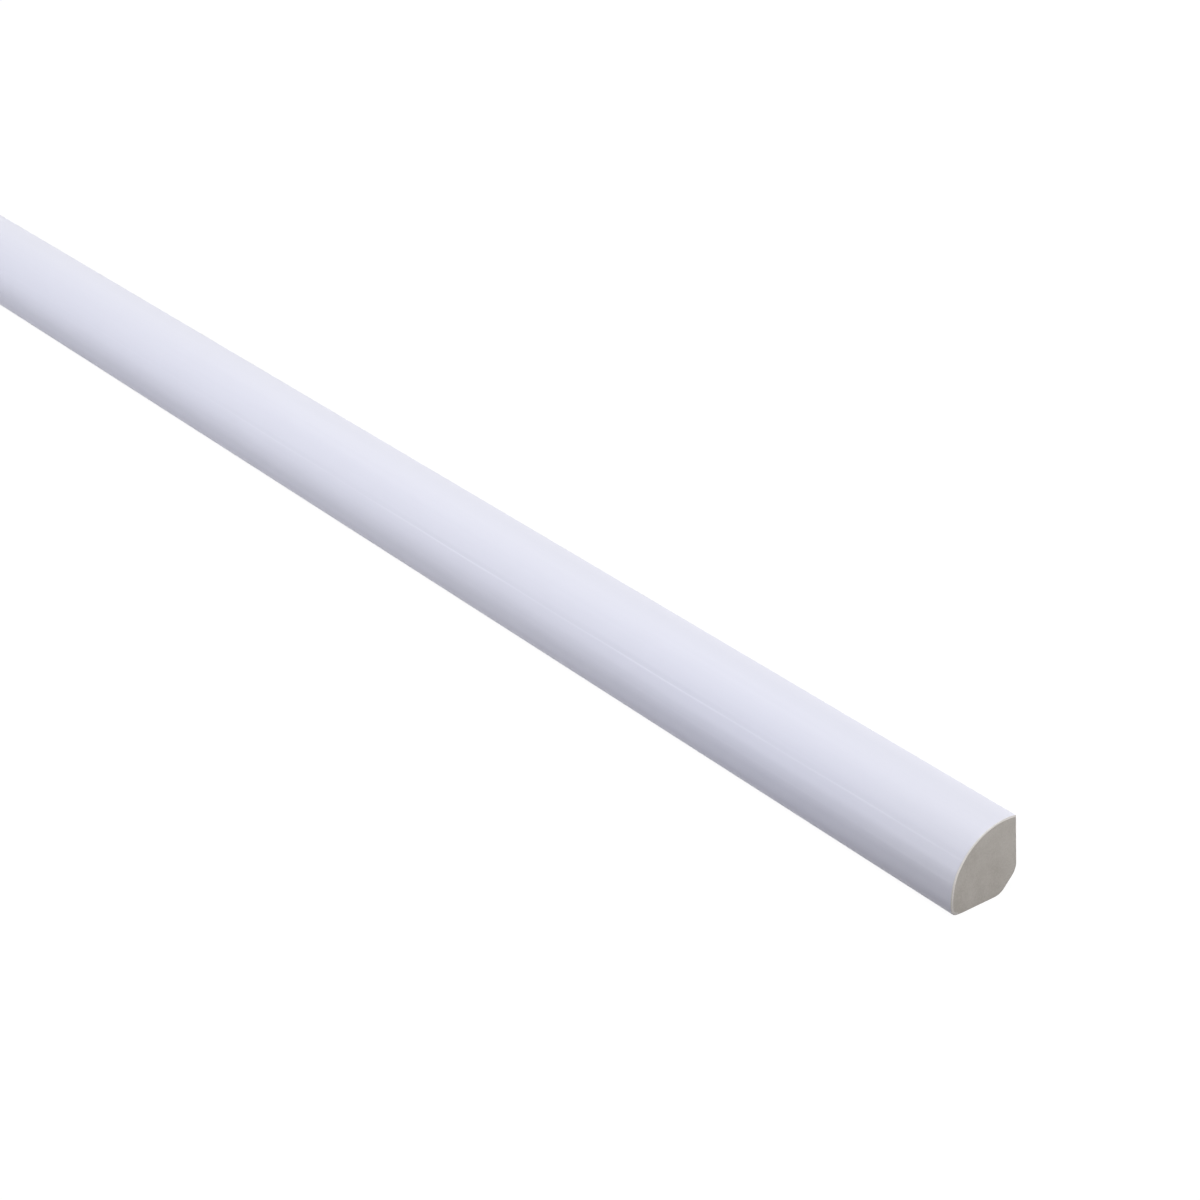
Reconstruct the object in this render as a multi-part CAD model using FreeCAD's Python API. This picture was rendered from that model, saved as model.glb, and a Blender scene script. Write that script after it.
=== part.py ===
"""Quarter round moulding: one straight length of fibreboard trim stock, lying on its bottom face.

The section is a square of stock whose front upper side is one round arc. The arc runs a little past a quarter turn,
so it leans back in at the bottom front edge (the toe) and at the top of the back face. Both of those edges are
eased for the white face coat, and the corner that faces the angle of wall and floor is cut away (the relief).

The frame has X along the length, Y from the front to the back, and Z up. Its origin is in the middle of the length
and of the width, on the plane of the bottom face.
"""

import os

import FreeCAD
import Part

# Driving dimensions, in millimetres
LENGTH = 2438.4
WIDTH = 19.05
HEIGHT = 19.05
ARC_RADIUS = 15.875
TOE_RADIUS = 2.0
TOP_EDGE_RADIUS = 0.4
RELIEF_LEG = 4.7625
RELIEF_EDGE_RADIUS = 4.0

# Planes of the section
FAR_END = -LENGTH / 2
FRONT = -WIDTH / 2
BACK = WIDTH / 2

# The arc touches the front plane and the top plane, which places its centre
ARC_CENTRE_Y = FRONT + ARC_RADIUS
ARC_CENTRE_Z = HEIGHT - ARC_RADIUS
ARC_MIDDLE_REACH = ARC_RADIUS / 2 ** 0.5

# Where the arc meets the bottom plane and the back plane
TOE_Y = ARC_CENTRE_Y - (ARC_RADIUS ** 2 - ARC_CENTRE_Z ** 2) ** 0.5
BACK_TOP_Z = ARC_CENTRE_Z + (ARC_RADIUS ** 2 - (BACK - ARC_CENTRE_Y) ** 2) ** 0.5


def section_point(y, z):
    """A point of the section, in the plane of the far end."""
    return FreeCAD.Vector(FAR_END, y, z)


def sharp_section():
    """Face of the section before its edges are eased: bottom, arc and back."""
    corner = section_point(BACK, 0)
    toe = section_point(TOE_Y, 0)
    arc_middle = section_point(ARC_CENTRE_Y - ARC_MIDDLE_REACH, ARC_CENTRE_Z + ARC_MIDDLE_REACH)
    back_top = section_point(BACK, BACK_TOP_Z)
    outline = [
        Part.LineSegment(corner, toe),
        Part.Arc(toe, arc_middle, back_top),
        Part.LineSegment(back_top, corner),
    ]
    return Part.Face(Part.Wire([curve.toShape() for curve in outline]))


def edge_along(solid, y, z):
    """The edge of the solid that runs along its length nearest to the line through y and z."""
    middle = FreeCAD.Vector(0, y, z)
    return min(solid.Edges, key=lambda edge: edge.CenterOfMass.distanceToPoint(middle))


def quarter_round():
    """The whole moulding: the section run along the length, with its relief cut and its edges eased."""
    stock = sharp_section().extrude(FreeCAD.Vector(LENGTH, 0, 0))
    stock = stock.makeChamfer(RELIEF_LEG, [edge_along(stock, BACK, 0)])
    relief_edges = [edge_along(stock, BACK - RELIEF_LEG, 0), edge_along(stock, BACK, RELIEF_LEG)]
    stock = stock.makeFillet(RELIEF_EDGE_RADIUS, relief_edges)
    stock = stock.makeFillet(TOE_RADIUS, [edge_along(stock, TOE_Y, 0)])
    return stock.makeFillet(TOP_EDGE_RADIUS, [edge_along(stock, BACK, BACK_TOP_Z)])


os.makedirs("parts", exist_ok=True)
quarter_round().exportStep("parts/quarter_round.step")
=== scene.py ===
import math

import bpy
import numpy as np
from mathutils import Matrix, Vector


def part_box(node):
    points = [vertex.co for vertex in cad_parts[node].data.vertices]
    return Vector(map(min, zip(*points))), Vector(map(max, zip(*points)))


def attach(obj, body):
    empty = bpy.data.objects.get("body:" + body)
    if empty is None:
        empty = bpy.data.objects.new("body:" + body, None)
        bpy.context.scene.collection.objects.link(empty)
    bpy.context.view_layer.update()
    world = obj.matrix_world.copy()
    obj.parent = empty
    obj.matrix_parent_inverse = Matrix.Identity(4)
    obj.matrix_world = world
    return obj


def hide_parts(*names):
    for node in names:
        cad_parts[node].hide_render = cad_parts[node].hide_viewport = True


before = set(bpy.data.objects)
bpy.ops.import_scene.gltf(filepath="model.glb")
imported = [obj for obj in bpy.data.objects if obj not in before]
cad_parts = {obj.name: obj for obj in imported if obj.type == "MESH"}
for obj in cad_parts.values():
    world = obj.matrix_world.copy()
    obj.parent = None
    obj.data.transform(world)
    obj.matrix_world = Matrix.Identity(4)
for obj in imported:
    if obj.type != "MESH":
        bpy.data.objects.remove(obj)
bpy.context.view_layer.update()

# Looks of the quarter round moulding: one length of fibreboard trim with a white coat on its rounded face.
# Lengths are in metres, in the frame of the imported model: X along the length, Y from front to back, Z up.
# A turn is the angle of an outward normal from straight up towards the front, in radians.

NODE = "quarter_round"
BODY = "root"
PIECE = "quarter_round_finish"

# Planes of the stock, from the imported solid
LOWEST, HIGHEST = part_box(NODE)
FAR_END, FRONT, BOTTOM = LOWEST
NEAR_END, BACK, TOP = HIGHEST

# Section
ARC_RADIUS = 0.015875
TOE_RADIUS = 0.002
TOP_EDGE_RADIUS = 0.0004
RELIEF_LEG = 0.0047625
RELIEF_EDGE_RADIUS = 0.004

# The white coat, as its cut shows it: thicker towards the toe, with a rounded edge that sharpens at the top
COAT_THICKNESS = 0.00055
TOE_COAT_THICKNESS = 0.0007
COAT_THICKENS_FROM = math.radians(40)
COAT_THICKENS_TO = math.radians(85)
COAT_ARRIS = 0.0003
ARRIS_SHARPENS_FROM = math.radians(20)

# The bare fibreboard's own edge on the cut
RAW_ARRIS = 0.0001
RAW_STRIP = 0.00025

# The drag line that a tool left along the face: a shallow groove that drifts towards the toe
LINE_TURN = math.radians(54.3)
LINE_DRIFT = math.radians(4.3)
LINE_DRIFT_LENGTH = 0.1
LINE_WANDER = math.radians(0.25)
LINE_WANDER_LENGTH = 0.61
LINE_RIPPLE = math.radians(0.2)
LINE_RIPPLE_LENGTH = 0.047
LINE_DEPTH = 0.00006
LINE_FALL = 0.0014
LINE_RISE = 0.00045
LINE_BEAT_START = 0.112
LINE_BEAT_LENGTH = 0.095
LINE_BEAT_SHARE = 0.3
LINE_START_LENGTH = 0.04
LINE_START_LOSS = 0.6
LINE_FADE_LENGTH = 0.27
LINE_FADE_SHARPNESS = 6
LINE_FAINTEST = 0.2

# Fainter ridges beside it, and a hollow above the toe: degrees below the drag line, height,
# widths of the upper and the lower side, and the length over which each runs out
FAINT_RIDGES = (
    (-4.2, 0.000004, 0.0005, 0.0005, 0.2),
    (12.3, 0.0001, 0.0013, 0.0025, 0.2),
    (21.4, 0.00003, 0.0004, 0.0009, 0.2),
    (31.0, -0.00005, 0.001, 0.0016, math.inf),
)

# Steps of the mesh round the section, over the arris of a cut, and along the length
TOE_STEPS = 12
BELOW_LINE_STEPS = 48
LINE_STEPS = 40
ABOVE_LINE_STEPS = 54
TOP_EDGE_STEPS = 6
BACK_STEPS = 8
RELIEF_EDGE_STEPS = 8
RELIEF_STEPS = 3
BOTTOM_STEPS = 8
ARRIS_STEPS = 5
COATED_ARRIS_STEPS = 2
STATION_SPACING = 0.009
SHARP_ANGLE = math.radians(35)

# How far the finer steps reach to each side of the drag line, as a length and as a turn
LINE_BAND_REACH = 0.0018
LINE_BAND = LINE_BAND_REACH / ARC_RADIUS

# The first columns of the mesh are coated: the toe, the face and the top edge
COATED_COLUMNS = TOE_STEPS + BELOW_LINE_STEPS + LINE_STEPS + ABOVE_LINE_STEPS + TOP_EDGE_STEPS

# Numbers of the materials on the mesh
COAT, COAT_CUT, CORE, RAW = range(4)

# Layout of the map that the finish can be baked through: the sides in strips, and the two end cuts above them
MAP_STRIPS = 2
MAP_STRIP_HEIGHT = 0.3
MAP_GAP = 0.01
MAP_CUT_SIZE = 0.35
MAP_CUT_MARGIN = 0.0004
MAP_EDGE = 0.005

# Turns at which the section's stretches meet
UNDER = math.pi
BACKWARDS = -math.pi / 2
RELIEF = -3 * math.pi / 4

# Centres of the section's arcs
ARC_CENTRE = np.array([FRONT + ARC_RADIUS, TOP - ARC_RADIUS])
TOE_RISE = BOTTOM + TOE_RADIUS - ARC_CENTRE[1]
TOE_REACH = math.sqrt((ARC_RADIUS - TOE_RADIUS) ** 2 - TOE_RISE ** 2)
TOE_CENTRE = ARC_CENTRE + (-TOE_REACH, TOE_RISE)
TOE_TURN = math.atan2(TOE_REACH, TOE_RISE)
TOP_EDGE_REACH = BACK - TOP_EDGE_RADIUS - ARC_CENTRE[0]
TOP_EDGE_RISE = math.sqrt((ARC_RADIUS - TOP_EDGE_RADIUS) ** 2 - TOP_EDGE_REACH ** 2)
TOP_EDGE_CENTRE = ARC_CENTRE + (TOP_EDGE_REACH, TOP_EDGE_RISE)
TOP_EDGE_TURN = math.atan2(-TOP_EDGE_REACH, TOP_EDGE_RISE)
RELIEF_TANGENT = RELIEF_LEG + RELIEF_EDGE_RADIUS * math.tan(math.pi / 8)
UPPER_RELIEF_CENTRE = np.array([BACK - RELIEF_EDGE_RADIUS, BOTTOM + RELIEF_TANGENT])
LOWER_RELIEF_CENTRE = np.array([BACK - RELIEF_TANGENT, BOTTOM + RELIEF_EDGE_RADIUS])

# Where the coat ends: at the foot of the toe on the bottom, and below the top edge on the back
COAT_FOOT_Y = TOE_CENTRE[0]
COAT_TOP_Z = TOP_EDGE_CENTRE[1]

# Colours
COAT_COLOUR = (0.798, 0.80, 0.879)
COAT_SHADE_COLOUR = (0.78, 0.782, 0.864)
# The coat's cut: its own colour, made paler than the coat to paint in a highlight where the cut catches the
# light
COAT_CUT_HIGHLIT_COLOUR = (0.90, 0.87, 0.85)
COAT_CUT_HIGHLIT_DARKER_COLOUR = (0.80, 0.77, 0.75)
# Painted shade on the coat's cut by the toe: darker colours standing in for the lesser light low down
TOE_CUT_PAINTED_SHADE_COLOUR = (0.595, 0.572, 0.558)
TOE_CUT_PAINTED_SHADE_DARKER_COLOUR = (0.52, 0.498, 0.484)
CORE_COLOUR = (0.50, 0.475, 0.445)
CORE_SHADE_COLOUR = (0.44, 0.415, 0.385)
CORE_PALE_COLOUR = (0.545, 0.52, 0.49)
FLOOR_COLOUR = (0.46, 0.44, 0.42)
SHADOW_COLOUR = (0.08, 0.08, 0.08)
WHITE = (1.0, 1.0, 1.0)
FRONT_LIGHT_COLOUR = (0.95, 1.0, 1.17)
NEAR_LIGHT_COLOUR = (0.71, 0.92, 1.7)

# Patterns of the finishes, in cells per metre: one number for all directions, or one each along X, Y and Z
COAT_STREAK_CELLS = (9, 1100, 1100)
COAT_CLOUD_CELLS = (5, 160, 160)
COAT_GRAIN_CELLS = 2600
COAT_CUT_GRAIN_CELLS = 4000
CORE_FIBRE_CELLS = 2200
CORE_CLOUD_CELLS = 210
SAW_MARK_CELLS = (1, 500, 3600)
RAW_STREAK_CELLS = (14, 1500, 1500)
RAW_FIBRE_CELLS = 900
SPRAY_EDGE_CELLS = (120, 700, 700)

# Values of a noise between which a roughness or the overspray's edge goes from its lowest to its highest
ROUGHNESS_NOISE = (0.3, 0.7)
SPRAY_EDGE_NOISE = (0.25, 0.75)

# Tones at which a finish has its colours, from the shade to the palest
COAT_TONES = (0.3, 0.62)
COAT_CUT_TONES = (0.35, 0.55)
CORE_TONES = (0.34, 0.5, 0.66)

# Where a tone mixes two patterns, the share of the one that is named
COAT_STREAK_SHARE = 0.5
CORE_FIBRE_SHARE = 0.6
RAW_STREAK_SHARE = 0.5

# Height of the coat's grain beside that of its streaks
COAT_GRAIN_HEIGHT = 0.4

# Each finish: its specular level, its lowest and highest roughness, and its bump's distance and strength
COAT_SPECULAR = 0.4
COAT_ROUGHNESS = (0.46, 0.56)
COAT_BUMP = (0.00001, 0.5)
COAT_CUT_SPECULAR = 0.3
COAT_CUT_ROUGHNESS = (0.6, 0.75)
COAT_CUT_BUMP = (0.00002, 0.4)
CORE_SPECULAR = 0.2
CORE_ROUGHNESS = (0.75, 0.9)
CORE_BUMP = (0.00005, 0.35)
RAW_SPECULAR = 0.25
RAW_ROUGHNESS = (0.65, 0.8)
RAW_BUMP = (0.00003, 0.35)

# Heights between which the coat's cut turns from painted shade at the toe to its colour with the painted
# highlight
CUT_PAINTED_SHADE_HEIGHTS = (0.003, 0.0105)

# How much the clouds' value rises to the top of the core's cut, and falls to its bottom: painted shade,
# darker towards the floor and lighter above
CORE_PAINTED_SHADE_RISE = 0.12

# Overspray on the bare sides: its shortest and longest reach from the coat, and how much it covers there
SPRAY_REACH = (0.0003, 0.0022)
SPRAY_COVER = 0.85

# Numbers of the colour sockets on a mix node
MIX_FIRST = 6
MIX_SECOND = 7
MIX_RESULT = 2

# Camera, solved from the photograph's perspective of the near end and of the two long outlines
CAMERA_PLACE = Vector((1.6514, -0.3768, 0.3811))
CAMERA_FORWARD = Vector((-0.740525, 0.484171, -0.466056))
CAMERA_UP = Vector((-0.34742, 0.31803, 0.88213))
CAMERA_SENSOR = 36.0
CAMERA_LENS = 93.1
CAMERA_CLIP_START = 0.01

# Stage
FLOOR_SIZE = 14.0
FLOOR_GAP = 0.00005
FLOOR_GLOW = 0.96
SKY_LEVEL = 0.03
BACKDROP_LEVEL = 1.0

# Long soft panels beside the stock: degrees from straight above towards the front, distance from the stock,
# places of the two ends along X, width, radiance and colour
PANELS = {
    "overhead": (3, 1.2, (0.3, 2.6), 0.3, 8.1, WHITE),
    "far_overhead": (-30, 1.2, (-1.9, -0.3), 0.6, 2.15, WHITE),
    "high_front": (40, 0.4, (-1.9, 1.18), 0.12, 0.3, FRONT_LIGHT_COLOUR),
    "front": (69, 0.2, (-1.9, 1.139), 0.065, 1.45, FRONT_LIGHT_COLOUR),
    "near_front": (52, 0.1, (1.11, 1.205), 0.04, 0.27, NEAR_LIGHT_COLOUR),
    "back": (-85, 0.6, (-2.0, 2.0), 0.09, 3.5, WHITE),
}

# The soft light on each end cut: how far outside the end it stands, its place across and above the floor,
# the height it faces, its size and its radiance
CUT_LIGHT_OUTSIDE = 0.93
CUT_LIGHT_Y = 0.4
CUT_LIGHT_Z = 0.16
CUT_LIGHT_FACES_Z = 0.01
CUT_LIGHT_SIZE = (0.9, 0.26)
CUT_LIGHT_RADIANCE = 4.0


def outward(turn):
    """The outward normal for each turn, as (y, z)."""
    return np.stack([-np.sin(turn), np.cos(turn)], -1)


def smooth_step(share):
    """Eases from 0 to 1 as the share does."""
    share = np.clip(share, 0, 1)
    return share * share * (3 - 2 * share)


def arc(centre, radius, start, end, steps, with_last):
    """Points of a round stretch between two turns, with or without the last one, and their normals."""
    normals = outward(np.linspace(start, end, steps + 1)[:steps + with_last])
    return centre + radius * normals, normals


def straight(start, end, turn, steps):
    """Points between two points of the section, without those two, and their normals."""
    shares = np.linspace(0, 1, steps + 1)[1:steps, None]
    points = start + (end - start) * shares
    return points, np.tile(outward(turn), (len(points), 1))


def line_turn(behind):
    """Where the drag line lies on the face, by the distance behind the near end."""
    wander = LINE_WANDER * math.sin(2 * math.pi * behind / LINE_WANDER_LENGTH)
    ripple = LINE_RIPPLE * math.sin(2 * math.pi * behind / LINE_RIPPLE_LENGTH)
    return LINE_TURN - LINE_DRIFT / (1 + (behind / LINE_DRIFT_LENGTH) ** 2) + wander + ripple


def line_strength(behind):
    """How deep the drag line is there, as a share: it starts softly, beats along the length, and fades."""
    start = 1 - LINE_START_LOSS * math.exp(-(behind / LINE_START_LENGTH) ** 2)
    beat = math.cos(2 * math.pi * (behind - LINE_BEAT_START) / LINE_BEAT_LENGTH)
    fade = LINE_FAINTEST + (1 - LINE_FAINTEST) / (1 + (behind / LINE_FADE_LENGTH) ** LINE_FADE_SHARPNESS)
    return start * fade * (1 - LINE_BEAT_SHARE + LINE_BEAT_SHARE * beat)


def sunk(turns, behind):
    """How far the face lies inside its arc at each turn: the drag line and the hollow, less the ridges."""
    below = (turns - line_turn(behind)) * ARC_RADIUS
    fall = smooth_step(1 + below / LINE_FALL)
    rise = smooth_step(1 - below / LINE_RISE)
    depth = LINE_DEPTH * line_strength(behind) * np.minimum(fall, rise)
    for degrees, height, upper, lower, length in FAINT_RIDGES:
        aside = below - math.radians(degrees) * ARC_RADIUS
        width = np.where(aside < 0, upper, lower)
        depth -= height * math.exp(-behind / length) * np.exp(-(aside / width) ** 2)
    return depth


def rounded_face(behind):
    """Points of the coated face from toe to top edge, closest at the drag line, and their normals."""
    line = line_turn(behind)
    turns = np.concatenate([
        np.linspace(TOE_TURN, line + LINE_BAND, BELOW_LINE_STEPS, endpoint=False),
        np.linspace(line + LINE_BAND, line - LINE_BAND, LINE_STEPS, endpoint=False),
        np.linspace(line - LINE_BAND, TOP_EDGE_TURN, ABOVE_LINE_STEPS, endpoint=False),
    ])
    normals = outward(turns)
    return ARC_CENTRE + (ARC_RADIUS - sunk(turns, behind))[:, None] * normals, normals


def section(behind):
    """Points of the whole section and their normals: toe, face, top edge, back, relief and bottom."""
    toe = arc(TOE_CENTRE, TOE_RADIUS, UNDER, TOE_TURN, TOE_STEPS, False)
    face = rounded_face(behind)
    top_edge = arc(TOP_EDGE_CENTRE, TOP_EDGE_RADIUS, TOP_EDGE_TURN, BACKWARDS, TOP_EDGE_STEPS, True)
    upper = arc(UPPER_RELIEF_CENTRE, RELIEF_EDGE_RADIUS, BACKWARDS, RELIEF, RELIEF_EDGE_STEPS, True)
    lower = arc(LOWER_RELIEF_CENTRE, RELIEF_EDGE_RADIUS, RELIEF, -UNDER, RELIEF_EDGE_STEPS, True)
    back = straight(top_edge[0][-1], upper[0][0], BACKWARDS, BACK_STEPS)
    relief = straight(upper[0][-1], lower[0][0], RELIEF, RELIEF_STEPS)
    bottom = straight(lower[0][-1], toe[0][0], UNDER, BOTTOM_STEPS)
    stretches = (toe, face, top_edge, back, upper, relief, lower, bottom)
    return np.concatenate([s[0] for s in stretches]), np.concatenate([s[1] for s in stretches])


def arris_sizes(turns, coated):
    """The radius of an end cut's arris at each point of the section."""
    easing = smooth_step((turns - TOP_EDGE_TURN) / (ARRIS_SHARPENS_FROM - TOP_EDGE_TURN))
    return np.where(coated, RAW_ARRIS + (COAT_ARRIS - RAW_ARRIS) * easing, RAW_ARRIS)


def core_outline(points, normals, turns, coated):
    """Where the core starts on an end cut: under the coat, which runs out at the back, or the raw edge."""
    thickening = smooth_step((turns - COAT_THICKENS_FROM) / (COAT_THICKENS_TO - COAT_THICKENS_FROM))
    coat = COAT_THICKNESS + (TOE_COAT_THICKNESS - COAT_THICKNESS) * thickening
    under_coat = points - outward(np.maximum(turns, TOP_EDGE_TURN)) * coat[:, None]
    under_raw = points - normals * RAW_STRIP
    outline = np.where(coated[:, None], under_coat, under_raw)
    outline[:, 0] = np.minimum(outline[:, 0], BACK - RAW_STRIP)
    return outline


def row(x, points):
    """One row of the mesh: the section's points at x."""
    return np.column_stack([np.broadcast_to(x, len(points)), points])


def end_rows(end, inwards, behind):
    """Rows over an end's arris and onto its cut, and where each row lies on the flattened cut."""
    points, normals = section(behind)
    turns = np.arctan2(-normals[:, 0], normals[:, 1])
    coated = np.arange(len(points)) <= COATED_COLUMNS
    arris = arris_sizes(turns, coated)
    rows = []
    flat = []
    for lean in np.linspace(0, math.pi / 2, ARRIS_STEPS + 1):
        inset = arris * (1 - math.cos(lean))
        x = end + inwards * arris * (1 - math.sin(lean))
        rows.append(row(x, points - normals * inset[:, None]))
        unrolled = arris * (math.pi / 2 - lean) - arris
        flat.append(points + normals * unrolled[:, None])
    core = core_outline(points, normals, turns, coated)
    rows.append(row(end, core))
    flat.append(core)
    return rows, flat


def station_rows():
    """Rows along the length, between the two ends' arrises, with one in the middle."""
    first = FAR_END + 2 * COAT_ARRIS
    last = NEAR_END - 2 * COAT_ARRIS
    halves = round((last - first) / (2 * STATION_SPACING))
    places = np.linspace(first, last, 2 * halves + 1)
    return [row(x, section(NEAR_END - x)[0]) for x in places]


def closed(values):
    """The values of a row with the first one again at the end, so that each column has a next one."""
    return np.concatenate([values, values[:1]])


def strip_places(points, strip):
    """Places on the map for a row along the length, in one of the map's strips."""
    ring = closed(points)
    steps = np.linalg.norm(np.diff(ring[:, 1:], axis=0), axis=1)
    across = np.concatenate([[0], np.cumsum(steps)]) / steps.sum()
    along = (ring[:, 0] - FAR_END) / (NEAR_END - FAR_END) * MAP_STRIPS - strip
    base = MAP_EDGE + strip * (MAP_STRIP_HEIGHT + MAP_GAP)
    return np.column_stack([MAP_EDGE + along * (1 - 2 * MAP_EDGE), base + across * MAP_STRIP_HEIGHT])


def cut_places(points, number):
    """Places on the map for points of an end cut."""
    size = max(BACK - FRONT, TOP - BOTTOM) + 2 * MAP_CUT_MARGIN
    corner = np.array([FRONT - MAP_CUT_MARGIN, BOTTOM - MAP_CUT_MARGIN])
    base = np.array([MAP_EDGE + number * (MAP_CUT_SIZE + MAP_GAP), 1 - MAP_EDGE - MAP_CUT_SIZE])
    return base + (points - corner) / size * MAP_CUT_SIZE


def band_materials(coated_material, raw_material, columns):
    """Material numbers of the faces between two rows."""
    return np.where(np.arange(columns) < COATED_COLUMNS, coated_material, raw_material)


class Skin:
    """The faces of the moulding's mesh as they are added, with their materials and places on the map."""

    def __init__(self, columns):
        self.columns = columns
        self.faces = []
        self.materials = []
        self.places = []

    def band(self, lower, coated_material, raw_material, lower_places, upper_places):
        """Faces between a row and the next one, from the closed rows of their places."""
        here = lower * self.columns + np.arange(self.columns)
        beside = lower * self.columns + np.roll(np.arange(self.columns), -1)
        above = self.columns
        self.faces += np.column_stack([here, here + above, beside + above, beside]).tolist()
        self.materials += band_materials(coated_material, raw_material, self.columns).tolist()
        corners = (lower_places[:-1], upper_places[:-1], upper_places[1:], lower_places[1:])
        self.places.append(np.stack(corners, 1).reshape(-1, 2))

    def cap(self, order, places):
        """The flat middle of an end cut, from one whole row in the order that faces outwards."""
        self.faces.append(list(order))
        self.materials.append(CORE)
        self.places.append(places)

    def mesh(self, points):
        """The finished mesh, from its points."""
        made = bpy.data.meshes.new(PIECE)
        made.from_pydata(points.tolist(), [], self.faces)
        made.polygons.foreach_set("material_index", self.materials)
        made.polygons.foreach_set("use_smooth", [True] * len(self.faces))
        layer = made.uv_layers.new(name="OFBake")
        layer.uv.foreach_set("vector", np.concatenate(self.places).astype(np.float32).ravel())
        made.update()
        made.set_sharp_from_angle(angle=SHARP_ANGLE)
        return made


def cut_bands(skin, flat, first_row, number):
    """The bands of an end cut, from its rows' places on the flattened cut."""
    places = [cut_places(closed(points), number) for points in flat]
    for step in range(len(flat) - 1):
        from_side = step if number else len(flat) - 2 - step
        coated = COAT if from_side < COATED_ARRIS_STEPS else COAT_CUT
        skin.band(first_row + step, coated, CORE, places[step], places[step + 1])


def moulding_mesh():
    """The mesh of the whole length, with its materials and its map."""
    far_rows, far_flat = end_rows(FAR_END, 1, NEAR_END - FAR_END)
    near_rows, near_flat = end_rows(NEAR_END, -1, 0)
    rows = far_rows[::-1] + station_rows() + near_rows
    columns = len(rows[0])
    first_side = len(far_rows) - 1
    last_side = len(rows) - len(near_rows)
    skin = Skin(columns)
    skin.cap(range(columns), cut_places(far_flat[-1], 0))
    cut_bands(skin, far_flat[::-1], 0, 0)
    for j in range(first_side, last_side):
        middle = (rows[j][:, 0].mean() + rows[j + 1][:, 0].mean()) / 2
        strip = int((middle - FAR_END) / (NEAR_END - FAR_END) * MAP_STRIPS)
        skin.band(j, COAT, RAW, strip_places(rows[j], strip), strip_places(rows[j + 1], strip))
    cut_bands(skin, near_flat, last_side, 1)
    top = (len(rows) - 1) * columns
    skin.cap(range(top + columns - 1, top - 1, -1), cut_places(near_flat[-1][::-1], 1))
    return skin.mesh(np.concatenate(rows))


def opaque(colour):
    """The colour with its alpha."""
    return (*colour, 1.0)


class Finish:
    """A new material with its shader, and short ways to add the nodes of a pattern."""

    def __init__(self, name, specular):
        self.material = bpy.data.materials.new(name)
        self.material.use_nodes = True
        self.tree = self.material.node_tree
        self.shader = self.tree.nodes["Principled BSDF"]
        self.shader.inputs["Specular IOR Level"].default_value = specular
        self.place = self.node("ShaderNodeTexCoord").outputs["Object"]

    def node(self, kind, **inputs):
        """A new node with its inputs fed."""
        made = self.tree.nodes.new(kind)
        for name, value in inputs.items():
            self.feed(made.inputs[name.replace("_", " ")], value)
        return made

    def feed(self, socket, value):
        """Links the value to the socket if it is another socket, or else sets it there."""
        if isinstance(value, bpy.types.NodeSocket):
            self.tree.links.new(value, socket)
        else:
            socket.default_value = value

    def axis(self, name):
        """The object's own X, Y or Z."""
        return self.node("ShaderNodeSeparateXYZ", Vector=self.place).outputs[name]

    def noise(self, cells, detail=3.0, roughness=0.5):
        """A noise of so many cells per metre, or of so many along each axis."""
        if isinstance(cells, tuple):
            vector = self.node("ShaderNodeMapping", Vector=self.place, Scale=cells).outputs["Vector"]
            scale = 1.0
        else:
            vector = self.place
            scale = cells
        made = self.node("ShaderNodeTexNoise", Vector=vector, Scale=scale, Detail=detail, Roughness=roughness)
        return made.outputs["Fac"]

    def ramp(self, tone, places, colours):
        """Colours along a tone, each at its place."""
        made = self.node("ShaderNodeValToRGB", Fac=tone)
        elements = made.color_ramp.elements
        while len(elements) < len(places):
            elements.new(0.5)
        for element, place, colour in zip(elements, places, colours):
            element.position = place
            element.color = opaque(colour)
        return made.outputs["Color"]

    def spread(self, value, low, high, new_low, new_high):
        """The value's range turned into a new one, and kept inside it."""
        return self.node(
            "ShaderNodeMapRange",
            Value=value,
            From_Min=low,
            From_Max=high,
            To_Min=new_low,
            To_Max=new_high,
        ).outputs["Result"]

    def maths(self, operation, first, second):
        """One step of arithmetic on two values."""
        made = self.tree.nodes.new("ShaderNodeMath")
        made.operation = operation
        self.feed(made.inputs[0], first)
        self.feed(made.inputs[1], second)
        return made.outputs["Value"]

    def weighed(self, first, second, share):
        """The mean of two values, with a share for the first one."""
        return self.maths(
            "ADD",
            self.maths("MULTIPLY", first, share),
            self.maths("MULTIPLY", second, 1 - share),
        )

    def mixed(self, factor, first, second):
        """Two colours mixed by a factor."""
        made = self.tree.nodes.new("ShaderNodeMix")
        made.data_type = "RGBA"
        self.feed(made.inputs["Factor"], factor)
        self.feed(made.inputs[MIX_FIRST], first)
        self.feed(made.inputs[MIX_SECOND], second)
        return made.outputs[MIX_RESULT]

    def bump(self, height, distance, strength):
        """Fine relief from a height."""
        made = self.node("ShaderNodeBump", Height=height, Distance=distance, Strength=strength)
        self.feed(self.shader.inputs["Normal"], made.outputs["Normal"])

    def surface(self, colour, roughness):
        """The shader's colour and roughness."""
        self.feed(self.shader.inputs["Base Color"], colour)
        self.feed(self.shader.inputs["Roughness"], roughness)


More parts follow.
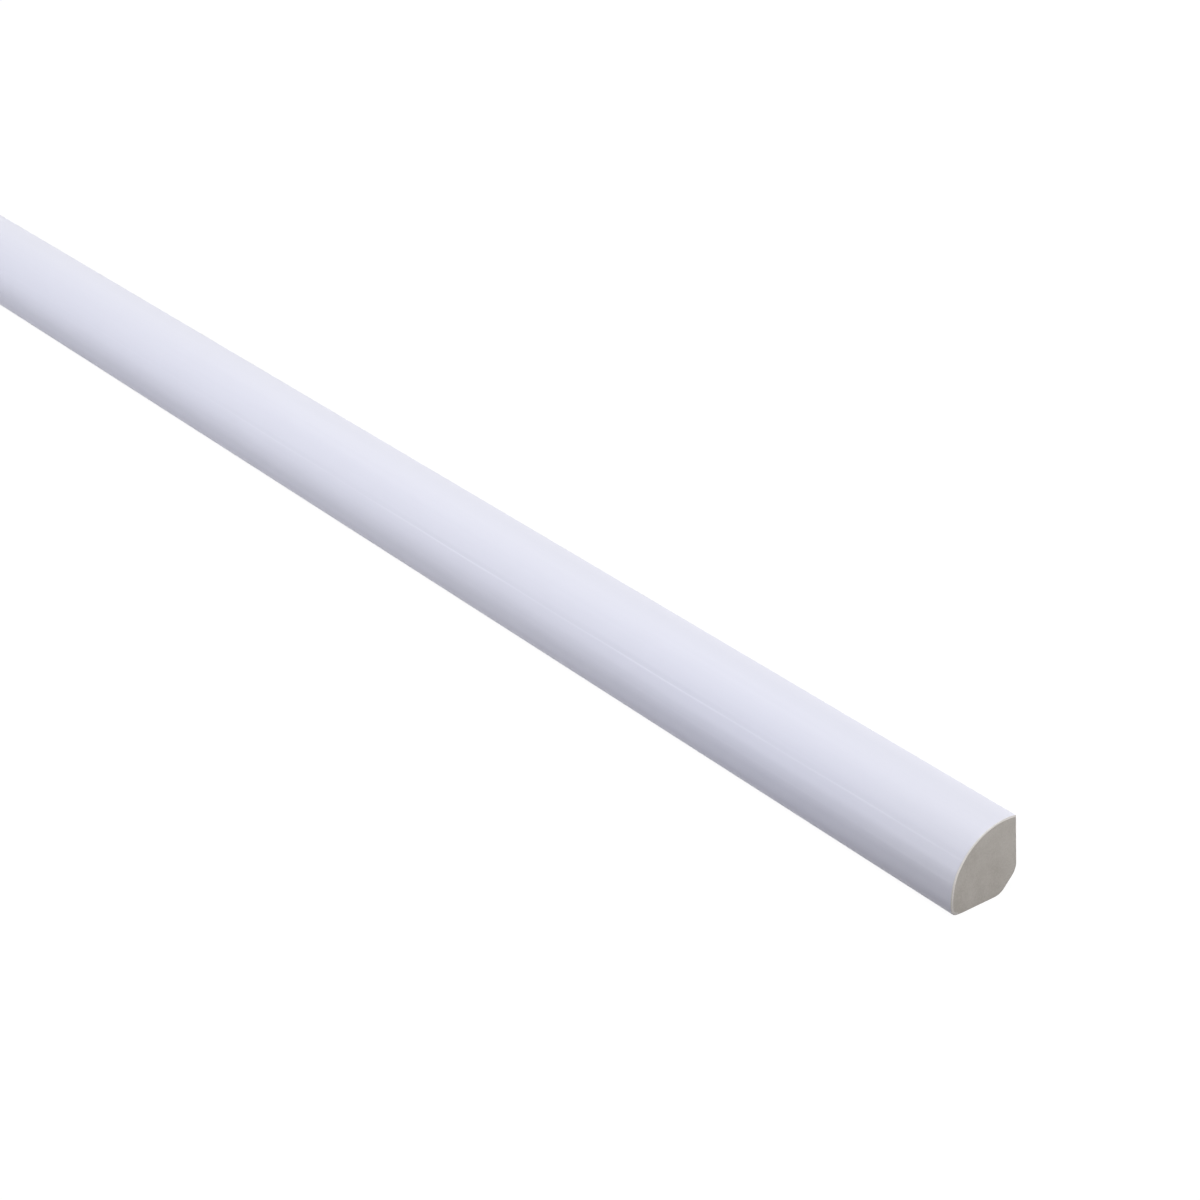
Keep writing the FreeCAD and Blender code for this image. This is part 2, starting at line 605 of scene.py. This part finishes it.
def coat_finish():
    """Satin white coat with faint drawn streaks along the length."""
    finish = Finish("white_coat", COAT_SPECULAR)
    streaks = finish.noise(COAT_STREAK_CELLS, detail=4.0, roughness=0.55)
    clouds = finish.noise(COAT_CLOUD_CELLS, detail=2.0)
    grain = finish.noise(COAT_GRAIN_CELLS, detail=2.0)
    tone = finish.weighed(streaks, clouds, COAT_STREAK_SHARE)
    colour = finish.ramp(tone, COAT_TONES, (COAT_SHADE_COLOUR, COAT_COLOUR))
    finish.surface(colour, finish.spread(streaks, *ROUGHNESS_NOISE, *COAT_ROUGHNESS))
    height = finish.maths("ADD", streaks, finish.maths("MULTIPLY", grain, COAT_GRAIN_HEIGHT))
    finish.bump(height, *COAT_BUMP)
    return finish.material


def coat_cut_finish():
    """The coat where the saw went through it: matt and slightly broken, with a painted highlight in its pale
    colour and painted shade darker by the toe.
    """
    finish = Finish("cut_coat", COAT_CUT_SPECULAR)
    grain = finish.noise(COAT_CUT_GRAIN_CELLS, detail=4.0)
    colour_and_highlight = finish.ramp(grain, COAT_CUT_TONES, (COAT_CUT_HIGHLIT_DARKER_COLOUR, COAT_CUT_HIGHLIT_COLOUR))
    toe_painted_shade = finish.ramp(grain, COAT_CUT_TONES, (TOE_CUT_PAINTED_SHADE_DARKER_COLOUR, TOE_CUT_PAINTED_SHADE_COLOUR))
    # Painted shade: the cut's colour darkens towards the toe, below the painted highlight higher up
    rise = finish.spread(finish.axis("Z"), *CUT_PAINTED_SHADE_HEIGHTS, 0.0, 1.0)
    roughness = finish.spread(grain, *ROUGHNESS_NOISE, *COAT_CUT_ROUGHNESS)
    finish.surface(finish.mixed(rise, toe_painted_shade, colour_and_highlight), roughness)
    finish.bump(grain, *COAT_CUT_BUMP)
    return finish.material


def core_colour(finish, fibres, clouds):
    """Fibreboard brown, from fine fibres over broad clouds."""
    tone = finish.weighed(fibres, clouds, CORE_FIBRE_SHARE)
    return finish.ramp(tone, CORE_TONES, (CORE_SHADE_COLOUR, CORE_COLOUR, CORE_PALE_COLOUR))


def core_finish():
    """Sawn end of the fibreboard: packed fibres in broad clouds, with faint saw marks and painted shade
    darker towards the bottom.
    """
    finish = Finish("sawn_core", CORE_SPECULAR)
    fibres = finish.noise(CORE_FIBRE_CELLS, detail=5.0, roughness=0.65)
    clouds = finish.noise(CORE_CLOUD_CELLS, detail=2.0)
    saw = finish.noise(SAW_MARK_CELLS, detail=2.0)
    # Painted shade: the core's cut is darker towards the bottom and lighter towards the top
    rise = finish.spread(finish.axis("Z"), BOTTOM, TOP, -CORE_PAINTED_SHADE_RISE, CORE_PAINTED_SHADE_RISE)
    colour = core_colour(finish, fibres, finish.maths("ADD", clouds, rise))
    finish.surface(colour, finish.spread(fibres, *ROUGHNESS_NOISE, *CORE_ROUGHNESS))
    finish.bump(finish.maths("ADD", fibres, saw), *CORE_BUMP)
    return finish.material


def raw_finish():
    """Bare fibreboard of the back, relief and bottom: planed lengthwise, with overspray by the coat."""
    finish = Finish("planed_core", RAW_SPECULAR)
    streaks = finish.noise(RAW_STREAK_CELLS, detail=4.0, roughness=0.6)
    fibres = finish.noise(RAW_FIBRE_CELLS, detail=4.0, roughness=0.6)
    bare = core_colour(finish, finish.weighed(streaks, fibres, RAW_STREAK_SHARE), streaks)
    ragged = finish.noise(SPRAY_EDGE_CELLS, detail=4.0, roughness=0.7)
    reach = finish.spread(ragged, *SPRAY_EDGE_NOISE, *SPRAY_REACH)
    from_foot = finish.maths("SUBTRACT", finish.axis("Y"), COAT_FOOT_Y)
    from_top = finish.maths("SUBTRACT", COAT_TOP_Z, finish.axis("Z"))
    aside = finish.maths("MINIMUM", from_foot, from_top)
    spray = finish.spread(finish.maths("DIVIDE", aside, reach), 0.0, 1.0, SPRAY_COVER, 0.0)
    colour = finish.mixed(spray, bare, opaque(COAT_SHADE_COLOUR))
    finish.surface(colour, finish.spread(fibres, *ROUGHNESS_NOISE, *RAW_ROUGHNESS))
    finish.bump(finish.maths("ADD", streaks, fibres), *RAW_BUMP)
    return finish.material


def moulding():
    """The whole length with its finish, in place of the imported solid."""
    piece = bpy.data.objects.new(PIECE, moulding_mesh())
    bpy.context.scene.collection.objects.link(piece)
    for make in (coat_finish, coat_cut_finish, core_finish, raw_finish):
        piece.data.materials.append(make())
    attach(piece, BODY)
    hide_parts(NODE)


def seen_directly(tree):
    """A socket that is 1 for rays that show a background: from the camera, a gloss or a clear surface."""
    rays = tree.nodes.new("ShaderNodeLightPath").outputs
    seen = rays["Is Camera Ray"]
    for name in ("Is Glossy Ray", "Is Transmission Ray"):
        either = tree.nodes.new("ShaderNodeMath")
        either.operation = "MAXIMUM"
        tree.links.new(seen, either.inputs[0])
        tree.links.new(rays[name], either.inputs[1])
        seen = either.outputs["Value"]
    return seen


def floor_finish():
    """Shows white with the object's soft shadow, and lights the object as a pale grey would."""
    material = bpy.data.materials.new("floor")
    material.use_nodes = True
    tree = material.node_tree
    nodes = tree.nodes
    nodes.remove(nodes["Principled BSDF"])
    lighting = nodes.new("ShaderNodeBsdfDiffuse")
    lighting.inputs["Color"].default_value = opaque(FLOOR_COLOUR)
    shadow = nodes.new("ShaderNodeBsdfDiffuse")
    shadow.inputs["Color"].default_value = opaque(SHADOW_COLOUR)
    glow = nodes.new("ShaderNodeEmission")
    glow.inputs["Color"].default_value = opaque(WHITE)
    glow.inputs["Strength"].default_value = FLOOR_GLOW
    shown = nodes.new("ShaderNodeAddShader")
    tree.links.new(shadow.outputs["BSDF"], shown.inputs[0])
    tree.links.new(glow.outputs["Emission"], shown.inputs[1])
    mix = nodes.new("ShaderNodeMixShader")
    tree.links.new(seen_directly(tree), mix.inputs["Fac"])
    tree.links.new(lighting.outputs["BSDF"], mix.inputs[1])
    tree.links.new(shown.outputs["Shader"], mix.inputs[2])
    tree.links.new(mix.outputs["Shader"], nodes["Material Output"].inputs["Surface"])
    return material


def floor():
    """Pale floor, a hair below the stock."""
    mesh = bpy.data.meshes.new("floor")
    half = FLOOR_SIZE / 2
    height = BOTTOM - FLOOR_GAP
    corners = [(-half, -half, height), (half, -half, height), (half, half, height), (-half, half, height)]
    mesh.from_pydata(corners, [], [(0, 1, 2, 3)])
    mesh.materials.append(floor_finish())
    plane = bpy.data.objects.new("floor", mesh)
    bpy.context.scene.collection.objects.link(plane)


def sky():
    """Even light from all round, behind which the background shows white."""
    world = bpy.data.worlds.new("studio")
    bpy.context.scene.world = world
    world.use_nodes = True
    tree = world.node_tree
    nodes = tree.nodes
    even = nodes["Background"]
    even.inputs["Color"].default_value = opaque(WHITE)
    even.inputs["Strength"].default_value = SKY_LEVEL
    white = nodes.new("ShaderNodeBackground")
    white.inputs["Color"].default_value = opaque(WHITE)
    white.inputs["Strength"].default_value = BACKDROP_LEVEL
    mix = nodes.new("ShaderNodeMixShader")
    tree.links.new(seen_directly(tree), mix.inputs["Fac"])
    tree.links.new(even.outputs["Background"], mix.inputs[1])
    tree.links.new(white.outputs["Background"], mix.inputs[2])
    tree.links.new(mix.outputs["Shader"], nodes["World Output"].inputs["Surface"])


def softbox(name, place, target, size, radiance, colour):
    """A flat light of even radiance, which faces its target."""
    light = bpy.data.lights.new(name, "AREA")
    light.shape = "RECTANGLE"
    light.size, light.size_y = size
    light.energy = math.pi * size[0] * size[1] * radiance
    light.color = colour
    lamp = bpy.data.objects.new(name, light)
    bpy.context.scene.collection.objects.link(lamp)
    away = (Vector(place) - Vector(target)).normalized()
    side = min(Vector((1, 0, 0)), Vector((0, 1, 0)), key=lambda axis: abs(away.dot(axis)))
    up = away.cross(side).normalized()
    across = up.cross(away)
    turn = Matrix((across, up, away)).transposed().to_4x4()
    lamp.matrix_world = Matrix.Translation(place) @ turn
    lamp.visible_camera = False


def panel(name, degrees, distance, ends, width, radiance, colour):
    """A long softbox beside the stock, at an angle from straight above towards the front."""
    toward = outward(math.radians(degrees)) * distance
    middle = sum(ends) / 2
    softbox(name, (middle, *toward), (middle, 0, 0), (ends[1] - ends[0], width), radiance, colour)


def lights():
    """The long panels, and a soft light on each end cut."""
    for name, values in PANELS.items():
        panel(name, *values)
    for name, end, outside in (("near_cut", NEAR_END, 1), ("far_cut", FAR_END, -1)):
        place = (end + outside * CUT_LIGHT_OUTSIDE, CUT_LIGHT_Y, CUT_LIGHT_Z)
        target = (end, 0, CUT_LIGHT_FACES_Z)
        softbox(name, place, target, CUT_LIGHT_SIZE, CUT_LIGHT_RADIANCE, WHITE)


def camera():
    """The camera at the photograph's place and angle."""
    data = bpy.data.cameras.new("camera")
    data.sensor_width = CAMERA_SENSOR
    data.lens = CAMERA_LENS
    data.clip_start = CAMERA_CLIP_START
    lens = bpy.data.objects.new("camera", data)
    bpy.context.scene.collection.objects.link(lens)
    right = CAMERA_FORWARD.cross(CAMERA_UP).normalized()
    up = right.cross(CAMERA_FORWARD).normalized()
    turn = Matrix((right, up, -CAMERA_FORWARD.normalized())).transposed().to_4x4()
    lens.matrix_world = Matrix.Translation(CAMERA_PLACE) @ turn
    bpy.context.scene.camera = lens


moulding()
floor()
sky()
lights()
camera()
bpy.context.scene.view_settings.view_transform = "Standard"
